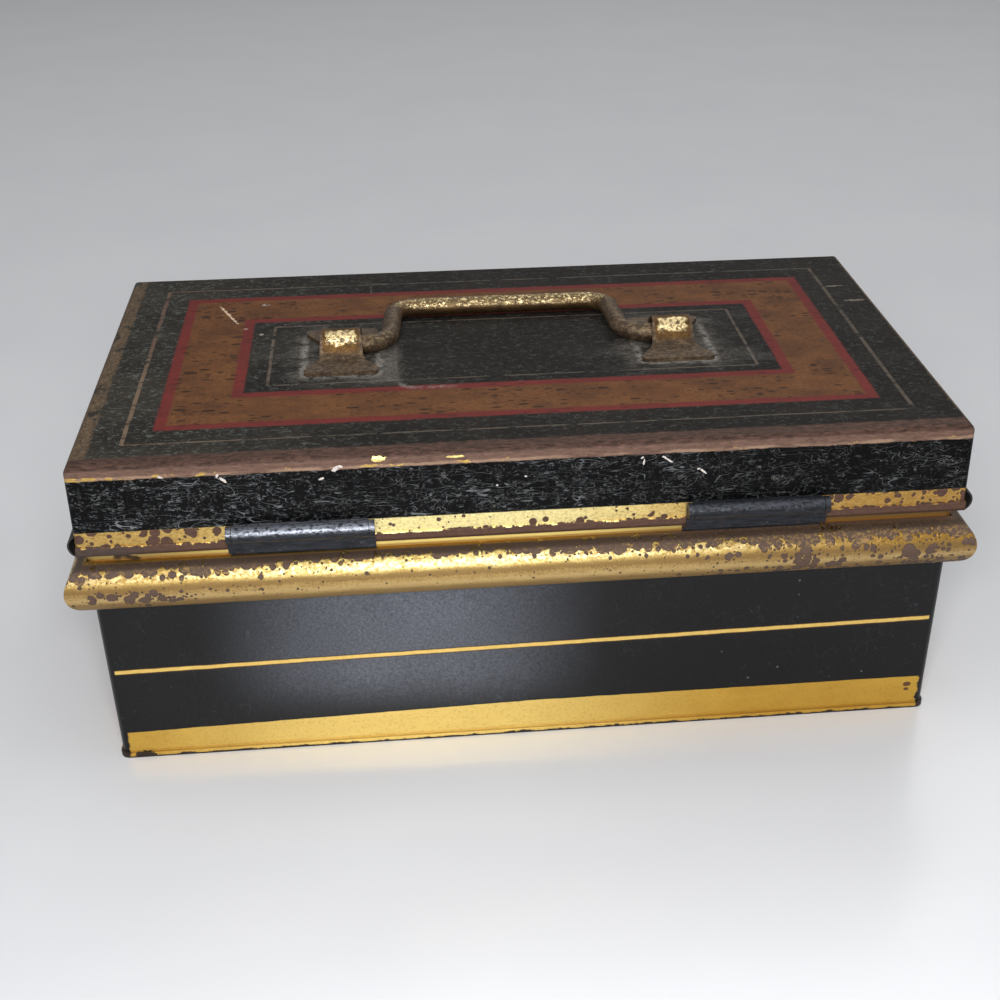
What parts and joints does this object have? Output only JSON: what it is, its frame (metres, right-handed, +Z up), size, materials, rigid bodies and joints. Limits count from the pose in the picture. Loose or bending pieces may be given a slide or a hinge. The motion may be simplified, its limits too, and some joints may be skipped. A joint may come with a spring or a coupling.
{
  "type": "deed box",
  "caption": "Small black japanned tin deed box with gilt half-round mouldings, a shallow hinged lid with a lined panel, a swing handle on top and a lock at the front.",
  "frame": {"origin": "on the table under the middle of the lid's outline", "axes": "+X along the box, +Y towards the hinge side, +Z up; the lock is on the -Y side"},
  "size_m": [0.2638, 0.1556, 0.1097],
  "materials": {
    "japanned_tin": "semi-gloss black japan with gilt and red lining, worn at the edges",
    "gilt_tin": "worn gilt paint over black, with rust spots",
    "hinge_steel": "blue-black, rubbed",
    "old_brass": "dark old brass, speckled",
    "plate_brass": "dull brass",
    "lock_iron": "dull dark iron"
  },
  "bodies": {
    "box": {"body_shell": "japanned_tin", "bottom_plate": "japanned_tin", "bead_back": "gilt_tin", "bead_front": "gilt_tin", "bead_left": "gilt_tin", "bead_right": "gilt_tin", "hinge_leaf_body_left": "hinge_steel", "hinge_leaf_body_right": "hinge_steel", "hinge_pin_left": "hinge_steel", "hinge_pin_right": "hinge_steel", "lock_case": "lock_iron", "lock_cap": "lock_iron", "bolt_stud": "lock_iron", "bolt_spring": "lock_iron", "key_post": "lock_iron", "lock_rivets": "lock_iron", "cap_screws": "lock_iron", "escutcheon": "plate_brass", "escutcheon_pins": "plate_brass"},
    "lid": {"lid_shell": "japanned_tin", "lid_bead_front": "gilt_tin", "lid_bead_left": "gilt_tin", "lid_bead_right": "gilt_tin", "hinge_leaf_lid_left": "hinge_steel", "hinge_leaf_lid_right": "hinge_steel", "handle_ear_left": "old_brass", "handle_ear_right": "old_brass", "lid_staple": "lock_iron", "staple_rivets": "lock_iron"},
    "handle": {"handle_bail": "old_brass"},
    "bolt": {"lock_bolt": "plate_brass"}
  },
  "joints": [
    {"name": "lid_hinge", "type": "hinge", "parent": "box", "child": "lid", "pos_m": [0, 0.07555, 0.0799], "axis": [-1, 0, 0], "range_deg": [0, 188]},
    {"name": "handle_swing", "type": "hinge", "parent": "lid", "child": "handle", "pos_m": [0.0007, 0.001, 0.10443], "axis": [-1, 0, 0], "range_deg": [0, 180]},
    {"name": "bolt_slide", "type": "slide", "parent": "box", "child": "bolt", "axis": [1, 0, 0], "range_m": [0, 0.007]}
  ]
}
